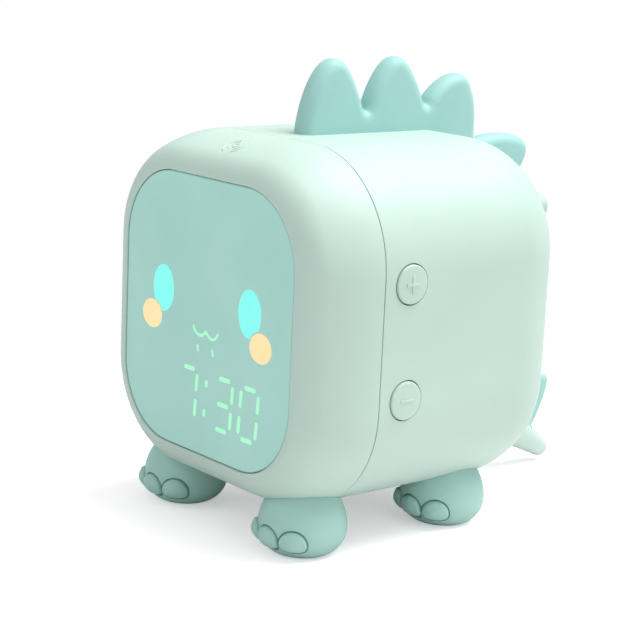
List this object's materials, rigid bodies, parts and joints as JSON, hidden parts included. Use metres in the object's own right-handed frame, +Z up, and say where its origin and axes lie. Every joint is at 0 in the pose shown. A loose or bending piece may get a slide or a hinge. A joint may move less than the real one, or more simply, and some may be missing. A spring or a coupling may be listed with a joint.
{
  "type": "kids alarm clock with night light",
  "caption": "Rounded desk alarm clock with a lit front display, side keys, four toed feet, a spiked crest and a tail.",
  "frame": {"origin": "centre of the overall box, on the floor under the soles", "axes": "+Z up, the display faces -Y, the side with the plus and minus keys faces +X"},
  "size_m": [0.1028, 0.1403, 0.1328],
  "materials": {
    "shell_plastic": "satin moulded plastic, pale mint",
    "panel_plastic": "smooth translucent plastic, mint green",
    "crest_plastic": "soft matt plastic, teal mint",
    "foot_plastic": "soft matt plastic, grey mint",
    "key_plastic": "satin moulded plastic, pale mint",
    "white_plastic": "white moulded plastic",
    "black_plastic": "black moulded plastic",
    "cool_light": "clear light guide, lit pale cyan",
    "warm_light": "clear light guide, lit warm yellow",
    "green_light": "clear light guide, lit pale green",
    "circuit_board": "green solder mask",
    "steel": "zinc-plated steel",
    "cell_wrap": "shrink wrap, blue",
    "copper": "bare copper foil"
  },
  "bodies": {
    "root": {"front_shell": "shell_plastic", "rear_shell": "shell_plastic", "front_panel": "panel_plastic", "display_mask": "white_plastic", "eye_light_guides": "cool_light", "cheek_light_guides": "warm_light", "mouth_light_guides": "green_light", "digit_light_guides": "green_light", "display_board": "circuit_board", "right_switches": "black_plastic", "right_key_board": "circuit_board", "left_switches": "black_plastic", "left_key_board": "circuit_board", "front_left_foot": "foot_plastic", "front_right_foot": "foot_plastic", "rear_left_foot": "foot_plastic", "rear_right_foot": "foot_plastic", "crest": "crest_plastic", "tail": "shell_plastic", "trim_screws": "steel", "tail_fin": "crest_plastic", "battery_cell": "cell_wrap", "battery_cradle": "white_plastic", "main_board": "circuit_board", "charging_port": "steel", "speaker": "black_plastic", "speaker_ring": "white_plastic", "touch_foil": "copper", "shell_screws": "steel", "board_screws": "steel"},
    "plus_button": {"plus_key": "key_plastic", "plus_switch_plunger": "black_plastic"},
    "minus_button": {"minus_key": "key_plastic", "minus_switch_plunger": "black_plastic"},
    "set_button": {"set_key": "key_plastic", "set_switch_plunger": "black_plastic"},
    "alarm_button": {"alarm_key": "key_plastic", "alarm_switch_plunger": "black_plastic"}
  },
  "joints": [
    {"name": "plus_press", "type": "slide", "parent": "root", "child": "plus_button", "axis": [-1, 0, 0], "range_m": [0, 0.0006], "stiffness_N_per_m": 400},
    {"name": "minus_press", "type": "slide", "parent": "root", "child": "minus_button", "axis": [-1, 0, 0], "range_m": [0, 0.0006], "stiffness_N_per_m": 400},
    {"name": "set_press", "type": "slide", "parent": "root", "child": "set_button", "axis": [1, 0, 0], "range_m": [0, 0.0006], "stiffness_N_per_m": 400},
    {"name": "alarm_press", "type": "slide", "parent": "root", "child": "alarm_button", "axis": [1, 0, 0], "range_m": [0, 0.0006], "stiffness_N_per_m": 400}
  ]
}
